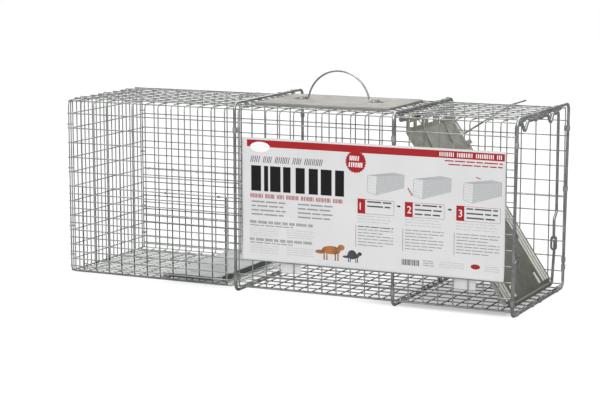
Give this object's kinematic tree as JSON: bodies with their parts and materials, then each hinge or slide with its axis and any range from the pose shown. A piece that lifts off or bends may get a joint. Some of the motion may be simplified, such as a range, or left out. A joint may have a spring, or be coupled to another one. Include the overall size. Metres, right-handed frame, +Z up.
{
  "type": "live catch trap",
  "caption": "Galvanised welded wire cage trap with a sloping drop door, toggle lock frame, treadle trigger and folding carry handle.",
  "frame": {"origin": "middle of the cage on the ground, under the lowest point of the hoops", "axes": "+X along the cage from the closed rear end to the entrance, +Y across it away from the printed card, +Z up"},
  "size_m": [0.8217, 0.2663, 0.3653],
  "materials": {
    "mesh_wire": "galvanised welded wire, soft satin grey",
    "ring_wire": "galvanised clip wire",
    "frame_rod": "bright galvanised rod",
    "guard_sheet": "pale galvanised sheet",
    "door_sheet": "dull galvanised sheet",
    "treadle_sheet": "light galvanised sheet",
    "rivet_metal": "plain rivet metal",
    "spring_wire": "zinc plated spring wire",
    "printed_card": "printed packaging card, white with a red band"
  },
  "bodies": {
    "cage": {"upper_mesh": "mesh_wire", "lower_mesh": "mesh_wire", "bait_guard_mesh": "mesh_wire", "rear_end_mesh": "mesh_wire", "seam_rings": "ring_wire", "end_panel_rings": "ring_wire", "middle_hoop": "frame_rod", "hinge_hoop": "frame_rod", "entrance_hoop": "frame_rod", "hoop_clips": "ring_wire", "guard_rings": "ring_wire", "guard_plate": "guard_sheet", "handle_saddles": "guard_sheet", "handle_rivets": "rivet_metal", "backing_straps": "guard_sheet", "door_hinge_rod": "frame_rod", "hinge_straps": "door_sheet", "hinge_rod_caps": "rivet_metal", "door_springs": "spring_wire", "lock_bar_hangers": "door_sheet", "shaft_guides": "door_sheet", "treadle_pivot_rod": "frame_rod", "treadle_brackets": "door_sheet", "label_card": "printed_card"},
    "door": {"door_panel": "door_sheet", "door_catch": "door_sheet", "door_stiffeners": "door_sheet"},
    "lock_arm_frame": {"lock_arms": "frame_rod"},
    "lock_link_frame": {"lock_link": "frame_rod"},
    "handle": {"carry_handle": "frame_rod"},
    "shaft": {"trigger_shaft": "frame_rod"},
    "link": {"trigger_link": "frame_rod"},
    "treadle": {"treadle_plate": "treadle_sheet"}
  },
  "joints": [
    {"name": "door_swing", "type": "hinge", "parent": "cage", "child": "door", "pos_m": [0.2095, 0, 0.3014], "axis": [0, -1, 0], "range_deg": [0, 51]},
    {"name": "lock_arms_swing", "type": "hinge", "parent": "cage", "child": "lock_arm_frame", "pos_m": [0.399, 0, 0.301], "axis": [0, -1, 0], "range_deg": [0, 87.86]},
    {"name": "lock_link_swing", "type": "hinge", "parent": "door", "child": "lock_link_frame", "pos_m": [0.395, 0, 0.014], "axis": [0, -1, 0], "range_deg": [-114.37, 0]},
    {"name": "treadle_tilt", "type": "hinge", "parent": "cage", "child": "treadle", "pos_m": [-0.22, 0, 0.0155], "axis": [0, -1, 0], "range_deg": [0, 6]},
    {"name": "trigger_link_slide", "type": "slide", "parent": "cage", "child": "link", "axis": [0, 0, 1], "range_m": [0, 0.00312]},
    {"name": "trigger_shaft_turn", "type": "hinge", "parent": "cage", "child": "shaft", "pos_m": [0, 0.1185, 0.302], "axis": [1, 0, 0], "range_deg": [-14, 0]},
    {"name": "handle_fold", "type": "hinge", "parent": "cage", "child": "handle", "pos_m": [0.0497, 0, 0.3163], "axis": [1, 0, 0], "range_deg": [-84, 84]}
  ],
  "couplings": [
    {"joint": "lock_arms_swing", "follows": "door_swing", "ratio": 1.7228},
    {"joint": "lock_link_swing", "follows": "door_swing", "ratio": -2.2425},
    {"joint": "trigger_link_slide", "follows": "treadle_tilt", "m_per_rad": 0.02976},
    {"joint": "trigger_shaft_turn", "follows": "treadle_tilt", "ratio": -2.3333}
  ]
}
